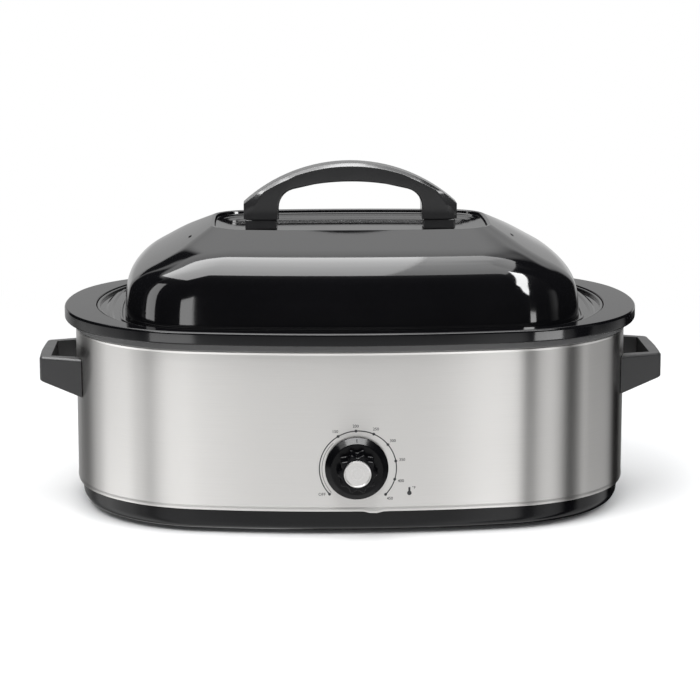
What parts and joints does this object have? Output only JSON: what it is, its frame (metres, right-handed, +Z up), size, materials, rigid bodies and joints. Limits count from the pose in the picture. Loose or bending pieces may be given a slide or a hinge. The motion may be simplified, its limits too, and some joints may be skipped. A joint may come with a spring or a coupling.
{
  "type": "electric roaster oven",
  "caption": "Oval countertop electric roaster: steel-wrapped base with side handles and a front dial, lift-out black pan and rack, domed lift-off lid with an arched grip.",
  "frame": {"origin": "on the worktop, under the middle of the oven's overall width and depth", "axes": "+X to the right seen from the dial side, +Y to the rear (cord inlet side), +Z up"},
  "size_m": [0.602, 0.3855, 0.3275],
  "materials": {
    "black_enamel": "gloss",
    "brushed_stainless": "brushed round the wrap",
    "black_plastic": "satin",
    "foot_rubber": "matte",
    "zinc_screw": "plated",
    "steel_bracket": "plain",
    "galvanised_sheet": "galvanised",
    "heater_sheath": "satin",
    "insulation": "woven",
    "satin_cap": "satin",
    "plated_steel": "plated",
    "ceramic": "glazed",
    "aluminium_case": "satin",
    "copper": "plain",
    "lead_sleeve": "braided",
    "chromed_wire": "polished"
  },
  "bodies": {
    "base": {"base_tray": "black_enamel", "rubber_feet": "foot_rubber", "foot_screws": "zinc_screw", "well_posts": "steel_bracket", "heat_shield": "galvanised_sheet", "outer_wrap": "brushed_stainless", "top_rim": "black_enamel", "well_liner": "black_enamel", "band_heater": "heater_sheath", "insulation_blanket": "insulation", "side_handle_right": "black_plastic", "side_handle_left": "black_plastic", "handle_screws": "zinc_screw", "thermostat_bracket": "steel_bracket", "thermostat_body": "ceramic", "terminal_block": "ceramic", "thermal_fuse": "aluminium_case", "sensing_bulb": "copper", "supply_lead": "lead_sleeve", "rear_heater_lead": "lead_sleeve", "front_heater_lead": "lead_sleeve", "fuse_lead": "lead_sleeve", "capillary_tube": "copper", "cord_gland": "black_plastic", "gland_nut": "black_plastic"},
    "knob": {"control_knob": "black_plastic", "knob_cap": "satin_cap", "thermostat_shaft": "plated_steel"},
    "pan": {"roasting_pan": "black_enamel"},
    "rack": {"roasting_rack": "chromed_wire"},
    "lid": {"lid_shell": "black_enamel", "lid_handle": "black_plastic", "lid_handle_spacers": "black_plastic", "lid_screws": "zinc_screw", "lid_washers": "plated_steel"}
  },
  "joints": [
    {"name": "knob_turn", "type": "hinge", "parent": "base", "child": "knob", "pos_m": [0, -0.1678, 0.065], "axis": [0, 1, 0], "range_deg": [-132, 134]},
    {"name": "pan_lift", "type": "slide", "parent": "base", "child": "pan", "axis": [0, 0, 1], "range_m": [0, 0.25]},
    {"name": "rack_lift", "type": "slide", "parent": "pan", "child": "rack", "axis": [0, 0, 1], "range_m": [0, 0.2]},
    {"name": "lid_lift", "type": "slide", "parent": "rack", "child": "lid", "axis": [0, 0, 1], "range_m": [0, 0.25]}
  ]
}
